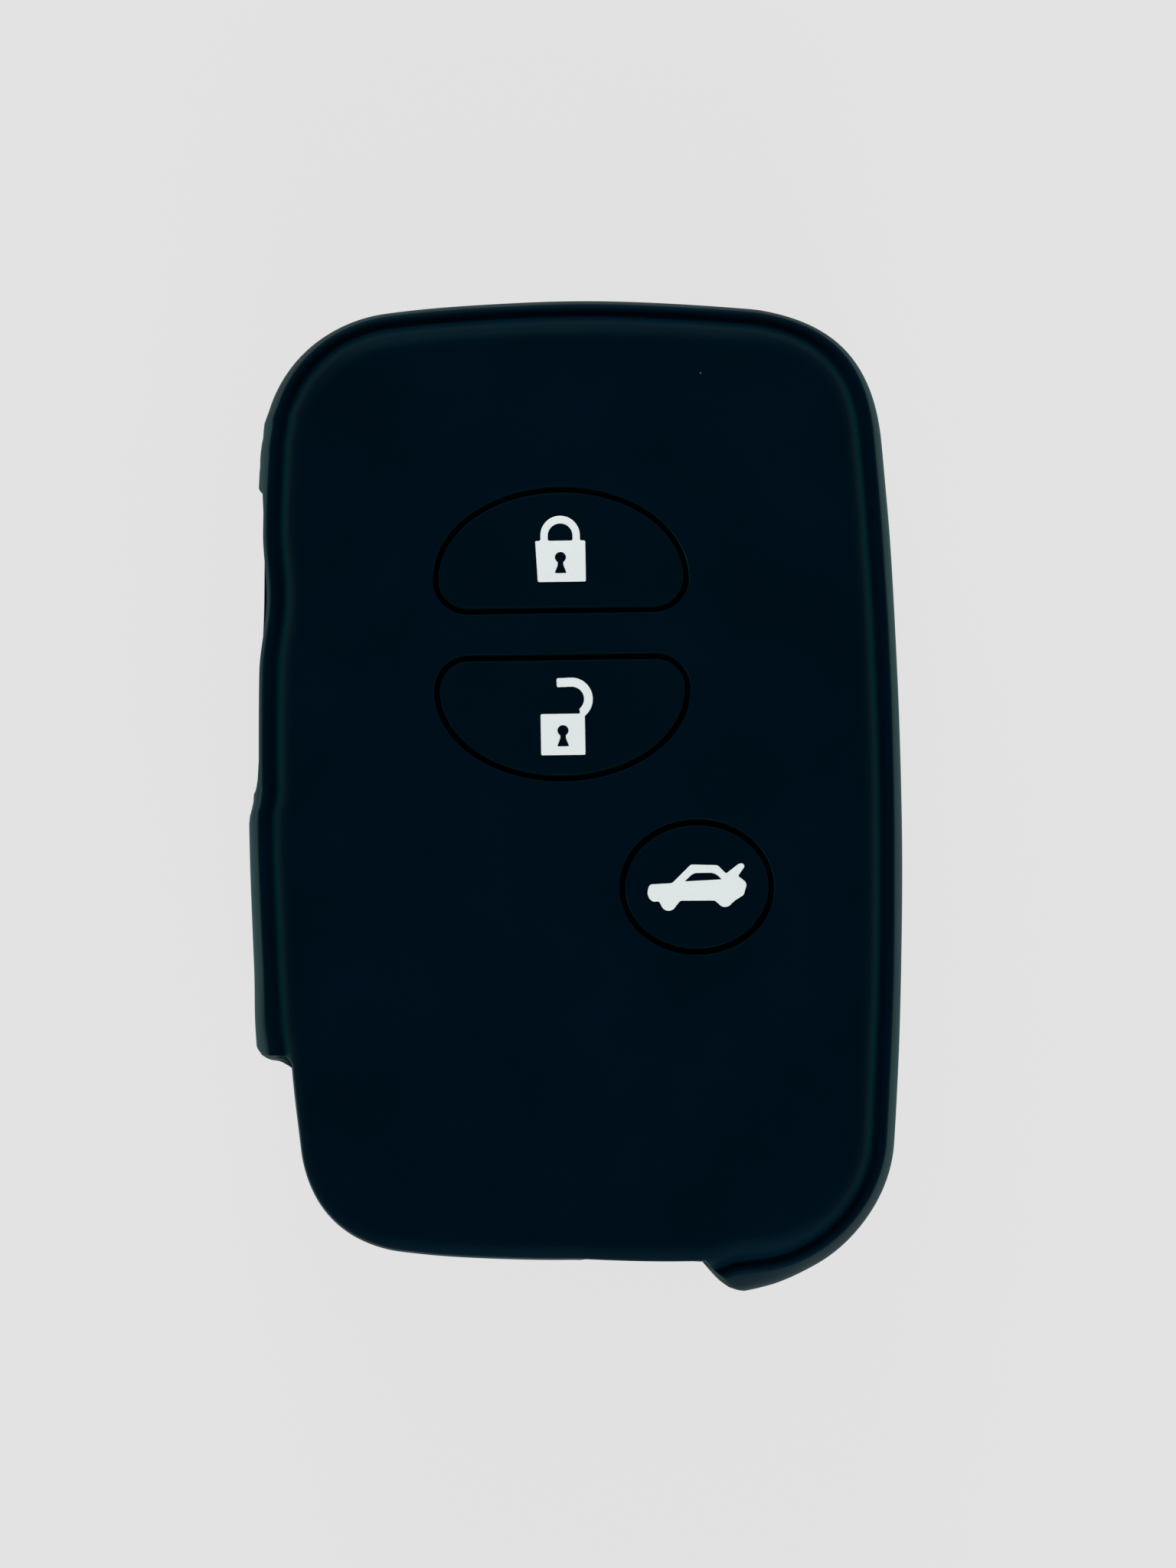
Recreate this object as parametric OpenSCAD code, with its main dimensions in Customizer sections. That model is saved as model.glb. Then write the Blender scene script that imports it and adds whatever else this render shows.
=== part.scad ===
// Silicone cover for a car key fob, without its fob.
// One moulded skin (front panel, side wall and back lip), three button pads that
// hang in it by thin webs, and a white icon set into each pad.
// The cover lies on its back lip. X runs across, Y along, Z from the back to the face.
// Lengths are millimetres.

/* [Outline] */
// Width of the cover at its widest line
cover_w = 50.7; // [46:0.1:56]
// Length of the cover at its widest line
cover_l = 77.1; // [70:0.1:86]
// Radius of the four corners
corner_r = 11.4; // [9:0.1:13]
// Radius of the bow of the long sides
side_r = 350; // [250:1:600]
// Radius of the bow of the short ends
end_r = 130; // [100:1:260]

/* [Skin] */
// Height of the cover from the back lip to the face
cover_t = 15.6; // [14.5:0.1:18]
// Thickness of the front panel
panel_t = 1.6; // [1.2:0.05:2.2]
// Thickness of the side wall
wall_t = 1.4; // [1:0.05:1.8]
// Thickness of the back lip
lip_t = 1.4; // [1:0.05:1.8]
// Reach of the back lip, from the widest line to the edge of the window
lip_w = 6.4; // [5.5:0.1:8]
// Radius of the outward bulge of the side wall
bulge_r = 20; // [17:0.5:30]
// Height of the widest line of the side wall
bulge_z = 7.4; // [6.6:0.1:8.2]
// Radius of the outer edge between side wall and back
back_r = 2.4; // [1.6:0.1:3]
// Radius inside, between side wall and back lip
lip_r = 1.6; // [0.8:0.1:2]
// Radius inside, between side wall and front panel
pocket_r = 3.4; // [2.8:0.1:3.8]

/* [Face edge] */
// Distance from the widest line to the step that the face rises from
face_in = 2; // [1.9:0.05:2.4]
// Radius of the rounded edge of the face
face_r = 1.9; // [1.2:0.1:2.1]
// Radius of the ridge along the rim
rim_r = 0.4; // [0.3:0.05:0.45]
// Depth of the top of the ridge below the face
rim_drop = 2.1; // [1.9:0.1:2.4]
// Depth of the floor of the rim groove below the face
groove_drop = 2.8; // [2.6:0.05:3]

/* [Side slot] */
// Length of the slot in the left side wall
slot_l = 23.6; // [16:0.1:26]
// Place of the middle of the slot along the cover
slot_y = 12.4; // [8:0.1:14]
// Height of the lower edge of the slot
slot_low = 2.6; // [2.4:0.1:4]
// Height of the slot
slot_h = 9.4; // [7:0.1:9.6]
// Radius of the corners of the slot
slot_r = 2.2; // [1:0.1:3]

/* [Key ring gap] */
// Distance from the widest line to the panel edge that is left in the gap
gap_in = 2.5; // [2.1:0.05:2.6]
// Distance from the widest line to the lip edge that is left in the gap
gap_lip_in = 3.4; // [3:0.1:4]
// Depth of the lower edge of the panel below the face, in the gap
gap_drop = 2.6; // [2.2:0.1:3]
// Place along the cover where the left side wall ends
gap_y = -20; // [-24:0.1:-16]
// Place across the cover where the bottom wall starts again
gap_x = 9.5; // [6:0.1:12]
// Slope of the cut that ends the bottom wall
gap_slope = 40; // [30:1:60]
// Radius of the hollow corner between the end of the left wall and the panel edge
gap_r = 1.1; // [0.4:0.1:1.4]
// Radius of the outer corner at the end of the left wall
wall_end_r = 1.3; // [0.4:0.1:1.4]

/* [Buttons] */
// Width of the groove round each button
button_gap = 0.5; // [0.4:0.05:0.7]
// Thickness of the web that carries each button
web_t = 0.45; // [0.3:0.05:0.7]
// Half width of the lock and unlock pads
pad_a = 9.35; // [8:0.05:10.5]
// Height of the domed side of these pads
pad_b = 6.6; // [5.5:0.1:7.5]
// Height of the straight side of these pads, and the radius of its corners
pad_c = 2.2; // [1.8:0.05:2.4]
// Place across the cover of these pads
pad_x = -0.95; // [-3:0.05:3]
// Place along the cover of the widest line of the lock pad
lock_y = 16.2; // [15.2:0.1:19]
// Place along the cover of the widest line of the unlock pad
unlock_y = 7.7; // [6.8:0.1:8.7]
// Half width of the trunk pad
trunk_a = 5.45; // [4.8:0.05:6.5]
// Half height of the trunk pad
trunk_b = 4.7; // [3.5:0.1:5.5]
// Place across the cover of the trunk pad
trunk_x = 9.1; // [8:0.1:11]
// Place along the cover of the trunk pad
trunk_y = -7.6; // [-12:0.1:-6.6]

/* [Icons] */
// Depth of the recess that holds each icon
icon_depth = 0.35; // [0.2:0.05:0.6]
// Height that each icon stands above its pad
icon_proud = 0.08; // [0:0.01:0.2]
// Width of the body of the lock icon
lock_w = 3.85; // [3:0.05:5]
// Height of the body of the lock and unlock icons
lock_h = 3.15; // [2.6:0.05:4]
// Radius of the corners of these bodies
lock_r = 0.2; // [0.1:0.05:0.4]
// Outer radius of the shackle of the lock icon
shackle_r = 1.52; // [1.2:0.02:1.8]
// Thickness of the shackle of the lock icon
shackle_t = 0.58; // [0.4:0.02:0.8]
// Length of the straight legs of the shackle
shackle_leg = 0.4; // [0.2:0.05:0.8]
// Width of the body of the unlock icon
unlock_w = 3.4; // [3:0.05:4.5]
// Radius of the middle line of the open shackle
open_r = 1.41; // [1.1:0.01:1.7]
// Thickness of the open shackle
open_t = 0.74; // [0.5:0.02:0.9]
// Length of the straight end of the open shackle
open_tail = 0.8; // [0.4:0.05:1.2]
// Radius of the round of the keyhole
key_r = 0.42; // [0.3:0.01:0.6]
// Length of the trunk icon, nose to tail
car_l = 7.6; // [5:0.1:8.5]

/* [Hidden] */

skin_color = "#04181c";
pad_color = "#051a20";
web_color = "#020a0d";
icon_color = "#e4e8e8";

// Overrun of every cut past the faces that it opens
over = 1;
// Share of a corner that each of the two sweeps meeting in it carries, and share of
// a long arc that a sweep carries
corner_lap_share = 0.7;
arc_lap_share = 1.2;
// How far one of these two sweeps runs on past the plane where they meet, measured
// at the outer end of that plane
seam_lap = 0.3;

// Height of the middle of the keyhole above the middle of the lock's body
keyhole_rise = 0.3;
// Height of the middle of each lock's body above the widest line of its pad
lock_icon_y = 1.3;
unlock_icon_y = 3.5;
// Angles between which the open shackle bends
open_from = -52;
open_to = 100;
// Middle of the open shackle, as shares of the width and height of the body
open_center_shares = [0.18, 0.9];
// Lower part of the keyhole, as shares of the radius of its round
keyhole_shares = [[-0.5, 0], [0.5, 0], [0.5, -1.4], [1.1, -2.9], [-1.1, -2.9], [-0.5, -1.4]];
// Car with its boot lid raised, as shares of its length: the upper edge from the nose
// to the tail, the sill between the wheels, the nose from below, and the window
car_top_shares = [
    [-0.49, 0], [-0.467, 0.03], [-0.25, 0.039], [-0.059, 0.224], [0.21, 0.214], [0.295, 0.128],
    [0.423, 0.226], [0.462, 0.23], [0.484, 0.2], [0.414, 0.102], [0.482, 0.05], [0.5, 0.015],
    [0.468, -0.089], [0.384, -0.14]];
car_sill_shares = [[0.175, -0.14], [-0.17, -0.137]];
car_nose_shares = [[-0.385, -0.14], [-0.445, -0.145], [-0.485, -0.11], [-0.5, -0.06]];
car_window_shares = [
    [-0.125, 0.055], [-0.055, 0.12], [-0.017, 0.14], [0.155, 0.14], [0.2, 0.12], [0.25, 0.07]];
rear_wheel_shares = [0.279, -0.128];
front_wheel_shares = [-0.288, -0.158];
wheel_r_share = 0.079;

// The outline is eight arcs that meet smoothly. Each keeps its centre when the
// line moves inward, so a section can be swept round it by turning.
half_w = cover_w / 2;
half_l = cover_l / 2;
side_reach = side_r - corner_r;
end_reach = end_r - corner_r;
side_center = [half_w - side_r, 0];
end_center = [0, half_l - end_r];
centers_gap = norm(side_center - end_center);
along_centers = (side_center - end_center) / centers_gap;
across_centers = [along_centers.y, -along_centers.x];
corner_along = (end_reach ^ 2 - side_reach ^ 2 + centers_gap ^ 2) / (2 * centers_gap);
corner_across = sqrt(end_reach ^ 2 - corner_along ^ 2);
corner = end_center + corner_along * along_centers + corner_across * across_centers;
side_half_angle = steady(atan2(corner.y, corner.x - side_center.x));
end_half_angle = steady(atan2(corner.x, corner.y - end_center.y));
corner_angle = 90 - side_half_angle - end_half_angle;

// The angle nearest to a, within a thousandth of a degree or so, whose sine and cosine
// are both whole millionths: a sweep turned by it keeps its size to the last digit, so
// neighbouring sweeps meet without a slit
function steady(a) =
    let (tries = [for (n = [-60 : 60]) asin((round(sin(a) * 1e6) + n) / 1e6)],
         misses = [for (t = tries) abs(cos(t) * 1e6 - round(cos(t) * 1e6))])
    [for (i = [0 : len(tries) - 1]) if (misses[i] == min(misses)) tries[i]][0];

// Heights in the section
face_z = cover_t;
panel_z = cover_t - panel_t;
rim_z = cover_t - rim_drop - rim_r;
groove_z = cover_t - groove_drop;
gap_z = cover_t - gap_drop;

// Distance inward of the centre of a fillet of radius r at height z that lies
// inside a bulge of radius big_r
function fillet_in(big_r, r, z) = bulge_r - sqrt((big_r - r) ^ 2 - (z - bulge_z) ^ 2);
inner_bulge_r = bulge_r - wall_t;
rim_in = fillet_in(bulge_r, rim_r, rim_z);
back_in = fillet_in(bulge_r, back_r, back_r);
lip_fillet_z = lip_t + lip_r;
lip_fillet_in = fillet_in(inner_bulge_r, lip_r, lip_fillet_z);
pocket_z = panel_z - pocket_r;
pocket_in = fillet_in(inner_bulge_r, pocket_r, pocket_z);
groove_r = (face_in - rim_in - rim_r) / 2;
// How far the swept ring of skin reaches inward: past the wall's inner fillet, and
// short of the axis of the corners
ring_w = (pocket_in + corner_r) / 2;

// Points along an arc, n steps from angle a to angle b
function arc(center, r, a, b, n) =
    [for (i = [0 : n]) center + r * [cos(a + (b - a) * i / n), sin(a + (b - a) * i / n)]];
// The same arc without its first point, to carry on from a line's last point
function arc_on(center, r, a, b, n) =
    [for (i = [1 : n]) center + r * [cos(a + (b - a) * i / n), sin(a + (b - a) * i / n)]];
// Angle on the bulge at which a fillet with this centre touches it
function bulge_angle(x, z) = 180 - atan((z - bulge_z) / (bulge_r - x));

// The skin's section, as distance inward from the widest line and height
skin_section = concat(
    arc([face_in + face_r, face_z - face_r], face_r, 90, 180, 7),
    arc([face_in - groove_r, groove_z + groove_r], groove_r, 0, -180, 4),
    arc([rim_in, rim_z], rim_r, 0, bulge_angle(rim_in, rim_z), 6),
    arc_on([bulge_r, bulge_z], bulge_r, bulge_angle(rim_in, rim_z), 180, 4),
    arc_on([bulge_r, bulge_z], bulge_r, 180, bulge_angle(back_in, back_r), 4),
    arc_on([back_in, back_r], back_r, bulge_angle(back_in, back_r), 270, 6),
    arc([lip_w - lip_t / 2, lip_t / 2], lip_t / 2, -90, 90, 6),
    arc([lip_fillet_in, lip_fillet_z], lip_r, 270, bulge_angle(lip_fillet_in, lip_fillet_z), 4),
    arc_on([bulge_r, bulge_z], inner_bulge_r, bulge_angle(lip_fillet_in, lip_fillet_z),
           bulge_angle(pocket_in, pocket_z), 5),
    arc_on([pocket_in, pocket_z], pocket_r, bulge_angle(pocket_in, pocket_z), 90, 6),
    [[ring_w, panel_z], [ring_w, face_z]]);

// What the key ring gap takes from the section: the wall, the face edge outside
// gap_in and the lip edge outside gap_lip_in
gap_section = [
    [-over, -over],
    [gap_lip_in, -over],
    [gap_lip_in, lip_t],
    [lip_w, lip_t],
    [lip_w, gap_z],
    [gap_in, gap_z],
    [gap_in, face_z + over],
    [-over, face_z + over]];

// Turns a section, drawn inward from the widest line, about the centre of an arc
// that lies reach behind the centre of the corner
module turned(reach, start, angle, steps) {
    translate([-reach, 0, 0])
        rotate_extrude(start = start, angle = angle, $fn = steps)
            translate([reach, 0]) translate([corner_r, 0]) mirror([1, 0]) children();
}
// One quarter of a section swept round the outline. Half an end and half a side
// each carry their part of the corner, and the two lap a little past a plane through
// its axis.
module quarter() {
    part_angle = corner_lap_share * corner_angle;
    end_angle = arc_lap_share * end_half_angle;
    side_angle = arc_lap_share * side_half_angle;
    outside = [half_w + 2 * over, half_l + 2 * over];
    wedge([0, outside.y], outside)
        rotate([0, 0, 90 - end_half_angle]) {
            turned(end_reach, 0, end_angle, 360) children();
            turned(0, -part_angle, part_angle, 96) children();
        }
    wedge([outside.x, 0], outside + [0, seam_lap])
        rotate([0, 0, side_half_angle]) {
            turned(0, 0, part_angle, 96) children();
            turned(side_reach, -side_angle, side_angle, 360) children();
        }
}
// What lies between an axis of the cover and the line from the corner's centre outward
module wedge(on_axis, outside) {
    intersection() {
        translate([corner.x, corner.y, 0]) children();
        translate([0, 0, -2 * over]) linear_extrude(cover_t + 4 * over)
            polygon([[0, 0], corner, outside, on_axis]);
    }
}

// Outline of the lock pad, domed towards +Y, grown by g
function dome_outline(g) = concat(
    [for (i = [0 : 24]) [(pad_a + g) * cos(i * 7.5), (pad_b + g) * sin(i * 7.5)]],
    arc([-pad_a + pad_c, 0], pad_c + g, 187.5, 270, 8),
    arc([pad_a - pad_c, 0], pad_c + g, 270, 352.5, 8));
// Outline of the trunk pad, grown by g
function oval_outline(g) =
    [for (i = [0 : 47]) [(trunk_a + g) * cos(i * 7.5), (trunk_b + g) * sin(i * 7.5)]];

module lock_place() {
    translate([pad_x, lock_y, 0]) children();
}
module unlock_place() {
    translate([pad_x, unlock_y, 0]) mirror([0, 1, 0]) children();
}
module trunk_place() {
    translate([trunk_x, trunk_y, 0]) children();
}

module opening(outline) {
    translate([0, 0, panel_z - over])
        linear_extrude(panel_t + 2 * over) polygon(outline);
}
module pad(outline) {
    translate([0, 0, panel_z])
        linear_extrude(panel_t) polygon(outline);
}
module web(outer, inner) {
    translate([0, 0, panel_z])
        linear_extrude(web_t) difference() {
            polygon(outer);
            polygon(inner);
        }
}
module icon_solid(proud) {
    translate([0, 0, face_z - icon_depth])
        linear_extrude(icon_depth + proud) children();
}

// The slot, drawn along the wall and up, and pushed through it
module side_slot() {
    u = slot_l / 2 - slot_r;
    v = slot_h / 2 - slot_r;
    outline = concat(
        arc([u, v], slot_r, 0, 90, 6),
        arc([-u, v], slot_r, 90, 180, 6),
        arc([-u, -v], slot_r, 180, 270, 6),
        arc([u, -v], slot_r, 270, 360, 6));
    translate([-half_w - over, slot_y, slot_low + slot_h / 2])
        rotate([90, 0, 90])
            linear_extrude(lip_w + over) polygon(outline);
}

// Place across the cover of a point on the left side, inward of the widest line
function left_x(inward, y) = -side_center.x - sqrt((side_r - inward) ^ 2 - y ^ 2);

// The key ring gap, round the bottom left corner
module key_ring_gap() {
    inner = [-half_w + lip_w, -half_l + lip_w];
    wall_x = left_x(0, gap_y);
    plan = concat(
        [[-half_w - over, -half_l - over], [-half_w - over, gap_y + wall_end_r]],
        arc([wall_x + wall_end_r, gap_y + wall_end_r], wall_end_r, 180, 270, 6),
        [[inner.x, gap_y],
         [gap_x - (lip_w - gap_in) / tan(gap_slope), inner.y],
         [gap_x + (gap_in + over) / tan(gap_slope), -half_l - over]]);
    difference() {
        intersection() {
            translate([0, 0, -over]) linear_extrude(cover_t + 2 * over) polygon(plan);
            union() {
                mirror([1, 0, 0]) mirror([0, 1, 0]) quarter() polygon(gap_section);
                mirror([0, 1, 0]) quarter() polygon(gap_section);
            }
        }
        gap_fillet();
    }
}
// What stays in the hollow corner between the wall's end and the panel edge
module gap_fillet() {
    panel_x = left_x(gap_in, gap_y);
    translate([0, 0, gap_z]) linear_extrude(panel_t + over + gap_drop)
        polygon(concat(
            arc([panel_x - gap_r, gap_y - gap_r], gap_r, 90, 0, 6),
            [[panel_x + over, gap_y - gap_r], [panel_x + over, gap_y + over],
             [panel_x - gap_r, gap_y + over]]));
}

module cover_shell() {
    color(skin_color) difference() {
        union() {
            for (x = [0, 1])
                for (y = [0, 1])
                    mirror([x, 0, 0]) mirror([0, y, 0]) quarter() polygon(skin_section);
            translate([0, 0, panel_z]) linear_extrude(panel_t)
                square(2 * [half_w - ring_w + over, half_l - ring_w + over], center = true);
        }
        side_slot();
        key_ring_gap();
        lock_place() opening(dome_outline(button_gap));
        unlock_place() opening(dome_outline(button_gap));
        trunk_place() opening(oval_outline(button_gap));
    }
}

module rounded_body(w, h, r) {
    u = w / 2 - r;
    v = h / 2 - r;
    polygon(concat(
        arc([u, v], r, 0, 90, 4),
        arc([-u, v], r, 90, 180, 4),
        arc([-u, -v], r, 180, 270, 4),
        arc([u, -v], r, 270, 360, 4)));
}
module keyhole() {
    translate([0, keyhole_rise]) {
        polygon(arc([0, 0], key_r, 0, 345, 23));
        polygon(key_r * keyhole_shares);
    }
}
// Closed padlock
module lock_shape() {
    inner_r = shackle_r - shackle_t;
    foot = -shackle_leg - lock_r;
    difference() {
        union() {
            rounded_body(lock_w, lock_h, lock_r);
            translate([0, lock_h / 2 + shackle_leg]) polygon(concat(
                [[shackle_r, foot]],
                arc([0, 0], shackle_r, 0, 180, 18),
                [[-shackle_r, foot], [-inner_r, foot]],
                arc([0, 0], inner_r, 180, 0, 14),
                [[inner_r, foot]]));
        }
        keyhole();
    }
}
// Open padlock
module unlock_shape() {
    center = [open_center_shares.x * unlock_w, open_center_shares.y * lock_h];
    foot = [unlock_w / 2 - open_t / 2, lock_h / 2 - lock_r];
    outward = [cos(open_to), sin(open_to)];
    tail = open_tail * [-outward.y, outward.x];
    difference() {
        union() {
            rounded_body(unlock_w, lock_h, lock_r);
            translate(center) polygon(concat(
                arc([0, 0], open_r + open_t / 2, open_from, open_to, 22),
                [(open_r + open_t / 2) * outward + tail, (open_r - open_t / 2) * outward + tail],
                arc([0, 0], open_r - open_t / 2, open_to, open_from, 16),
                [foot - center]));
        }
        keyhole();
    }
}
module trunk_shape() {
    difference() {
        polygon(car_l * concat(
            car_top_shares,
            arc(rear_wheel_shares, wheel_r_share, -35, -145, 9),
            car_sill_shares,
            arc(front_wheel_shares, wheel_r_share, -30, -165, 10),
            car_nose_shares));
        polygon(car_l * car_window_shares);
    }
}

module lock_button() {
    color(pad_color) lock_place() difference() {
        pad(dome_outline(0));
        translate([0, lock_icon_y, 0]) icon_solid(over) lock_shape();
    }
}
module lock_button_web() {
    color(web_color) lock_place() web(dome_outline(button_gap), dome_outline(0));
}
module lock_icon() {
    color(icon_color) lock_place()
        translate([0, lock_icon_y, 0]) icon_solid(icon_proud) lock_shape();
}
module unlock_button() {
    color(pad_color) unlock_place() difference() {
        pad(dome_outline(0));
        translate([0, unlock_icon_y, 0]) mirror([0, 1, 0]) icon_solid(over) unlock_shape();
    }
}
module unlock_button_web() {
    color(web_color) unlock_place() web(dome_outline(button_gap), dome_outline(0));
}
module unlock_icon() {
    color(icon_color) unlock_place()
        translate([0, unlock_icon_y, 0]) mirror([0, 1, 0]) icon_solid(icon_proud) unlock_shape();
}
module trunk_button() {
    color(pad_color) trunk_place() difference() {
        pad(oval_outline(0));
        icon_solid(over) trunk_shape();
    }
}
module trunk_button_web() {
    color(web_color) trunk_place() web(oval_outline(button_gap), oval_outline(0));
}
module trunk_icon() {
    color(icon_color) trunk_place() icon_solid(icon_proud) trunk_shape();
}

cover_shell();
lock_button();
lock_button_web();
lock_icon();
unlock_button();
unlock_button_web();
unlock_icon();
trunk_button();
trunk_button_web();
trunk_icon();
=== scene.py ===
# %% [markdown]
# # A silicone cover for a car key fob
# The real thing is one soft skin, pressed in a mould from black-teal silicone rubber. Three
# button pads hang in its face by thin webs, and each pad carries a white silicone icon that
# was filled into a shallow recess. The cover is modelled empty, lying on its back lip.
#
# The mechanical model is loaded first. It fixes the size and place of every piece and the
# travel of every button, so the pieces made here only have to dress it.

import math
from bisect import bisect_right

import bmesh
import bpy
from mathutils import Matrix, Vector, noise
from mathutils.geometry import delaunay_2d_cdt, intersect_sphere_sphere_2d


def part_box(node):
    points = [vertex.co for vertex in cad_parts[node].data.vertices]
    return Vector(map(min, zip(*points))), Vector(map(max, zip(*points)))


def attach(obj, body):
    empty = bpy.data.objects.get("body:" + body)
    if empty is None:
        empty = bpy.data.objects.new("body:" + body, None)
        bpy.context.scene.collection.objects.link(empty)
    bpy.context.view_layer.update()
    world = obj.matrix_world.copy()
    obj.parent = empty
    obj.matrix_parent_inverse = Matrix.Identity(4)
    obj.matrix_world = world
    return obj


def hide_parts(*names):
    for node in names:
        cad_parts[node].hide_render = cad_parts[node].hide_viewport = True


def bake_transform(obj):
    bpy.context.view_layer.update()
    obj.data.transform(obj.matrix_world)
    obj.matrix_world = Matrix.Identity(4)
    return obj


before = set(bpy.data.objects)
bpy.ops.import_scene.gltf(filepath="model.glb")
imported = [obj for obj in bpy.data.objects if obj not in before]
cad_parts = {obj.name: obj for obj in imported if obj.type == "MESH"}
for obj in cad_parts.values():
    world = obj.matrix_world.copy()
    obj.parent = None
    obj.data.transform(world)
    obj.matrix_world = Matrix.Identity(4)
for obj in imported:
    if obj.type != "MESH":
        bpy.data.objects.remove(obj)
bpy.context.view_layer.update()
MM = 0.001

# %% [markdown]
# ## Measures
# Everything below is worked out in millimetres, and only the finished mesh is scaled to
# metres. What the frame can tell is read from it: the overall width, the height of the face
# and the place of each pad. The rest are what a mould maker would dimension, and each cell
# starts with the ones that it needs. In their names, R is a radius, T a thickness, IN how
# far a place lies inward of the widest line, and DROP how far it lies below the face.

# %% Measures read from the frame


def box_mm(node):
    """Lowest and highest corner of a node of the frame, in millimetres."""
    low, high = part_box(node)
    return low / MM, high / MM


half_w, half_l, face_z = box_mm("cover_shell")[1]
panel_z = box_mm("lock_button")[0].z
web_t = box_mm("lock_button_web")[1].z - panel_z
print("half width", round(half_w, 2), "half length", round(half_l, 2), "face", round(face_z, 2))

# %% [markdown]
# ## The outline
# Seen from above, the cover is a rounded rectangle whose sides bow outward a little. Eight
# arcs that meet smoothly draw it: two long sides, two ends and four corners. A bezier curve
# could follow it too, but arcs have a great advantage: moved inward, an arc keeps its
# centre, so every line of the skin is the same eight arcs with smaller radii.

# %% The eight arcs of the widest line
SIDE_R, END_R, CORNER_R = 350, 130, 11.4

side_center = Vector((half_w - SIDE_R, 0))
end_center = Vector((0, half_l - END_R))
crossings = intersect_sphere_sphere_2d(
    side_center, SIDE_R - CORNER_R, end_center, END_R - CORNER_R)
corner = max(crossings, key=lambda point: point.x + point.y)
side_turn = math.atan2(corner.y, corner.x - side_center.x)
end_turn = math.atan2(corner.x, corner.y - end_center.y)


def outline_arcs():
    """Centre, radius and first angle of each arc, anticlockwise from the right side."""
    quarter, half = math.pi / 2, math.pi
    return [
        (side_center, SIDE_R, 0),
        (corner, CORNER_R, side_turn),
        (end_center, END_R, quarter - end_turn),
        (Vector((-corner.x, corner.y)), CORNER_R, quarter + end_turn),
        (-side_center, SIDE_R, half - side_turn),
        (-corner, CORNER_R, half + side_turn),
        (-end_center, END_R, 3 * quarter - end_turn),
        (Vector((corner.x, -corner.y)), CORNER_R, 3 * quarter + end_turn),
        (side_center, SIDE_R, 2 * half - side_turn)]


arcs = outline_arcs()
starts = [0]
for (_, radius, first), (_, _, last) in zip(arcs, arcs[1:]):
    starts.append(starts[-1] + radius * (last - first))
perimeter = starts[-1] + SIDE_R * side_turn
print("length of the widest line:", round(perimeter, 1), "mm")

# %% Places along the widest line
LEFT_SIDE, BOTTOM_END = 4, 6  # their numbers in the list of arcs


def outline_point(along, inset):
    """Point at a distance along the widest line, moved inward by inset."""
    along %= perimeter
    number = bisect_right(starts, along) - 1
    center, radius, first = arcs[number]
    turn = first + (along - starts[number]) / radius
    return center + (radius - inset) * Vector((math.cos(turn), math.sin(turn)))


def along_left(y):
    """Distance along the widest line at which the left side reaches y."""
    turn = math.pi - math.asin(y / SIDE_R)
    return starts[LEFT_SIDE] + (turn - arcs[LEFT_SIDE][2]) * SIDE_R


def along_bottom(x):
    """Distance along the widest line at which the bottom end reaches x."""
    turn = 1.5 * math.pi + math.asin(x / END_R)
    return starts[BOTTOM_END] + (turn - arcs[BOTTOM_END][2]) * END_R


print("middle of the left side:", round(along_left(0), 1), "mm along")
print("middle of the bottom end:", round(along_bottom(0), 1), "mm along")

# %% [markdown]
# ## The section
# Cut across, the skin is a thin hook: panel, rounded face edge, a shallow valley, the ridge of
# the rim, the bulging wall, the back lip, and the same way back inside. Each point of the
# section is a pair: how far it lies inward of the widest line, and its height. The rows are
# kept in one list, so one sheet can be swept round the outline with no seam.

# %% Arcs, and curves between them


def arc(center, radius, first, last, steps):
    """Points on an arc between two angles in degrees, both ends included."""
    turns = [math.radians(first + (last - first) * i / steps) for i in range(steps + 1)]
    return [Vector(center) + radius * Vector((math.cos(t), math.sin(t))) for t in turns]


def rounded(start, middle, end, steps=4):
    """Points on a curve that leaves start towards middle and reaches end from it."""
    shares = [i / steps for i in range(steps + 1)]
    return [start.lerp(middle, t).lerp(middle.lerp(end, t), t) for t in shares]


def angle_at(center, radius, z):
    """Angle in degrees at which the outward half of a circle reaches a height."""
    return 180 - math.degrees(math.asin((z - center[1]) / radius))


def tangent_foot(center, radius, angle, z):
    """Where the tangent of a circle at an angle in degrees reaches a height."""
    turn = math.radians(angle)
    spot = Vector(center) + radius * Vector((math.cos(turn), math.sin(turn)))
    return Vector((spot.x - (z - spot.y) * math.tan(turn), z))


print("a quarter arc:", [point.to_tuple(2) for point in arc((0, 0), 1, 0, 90, steps=2)])

# %% Arcs of the section
WALL_T, LIP_T, LIP_W = 1.4, 1.4, 6.4  # side wall and back lip, and the lip's width
BULGE_R, BULGE_Z = 20, 7.4  # the wall's bulge, and the height at which it is widest
BACK_R, LIP_R, POCKET_R = 2.4, 1.6, 3.4  # the wall's foot outside and inside, and its top inside
FACE_IN, FACE_R, FACE_END = 2.25, 1.9, 160  # face edge, round down to this many degrees
RIM_R, RIM_DROP, RIM_START = 0.5, 2.1, 60  # ridge of the rim, round from these degrees
VALLEY_DROP = 2.25

INNER_R = BULGE_R - WALL_T


def fillet_center(bulge_radius, radius, z):
    """Centre of a fillet at height z that lies inside a bulge."""
    across = math.sqrt((bulge_radius - radius) ** 2 - (z - BULGE_Z) ** 2)
    return Vector((BULGE_R - across, z))


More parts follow.
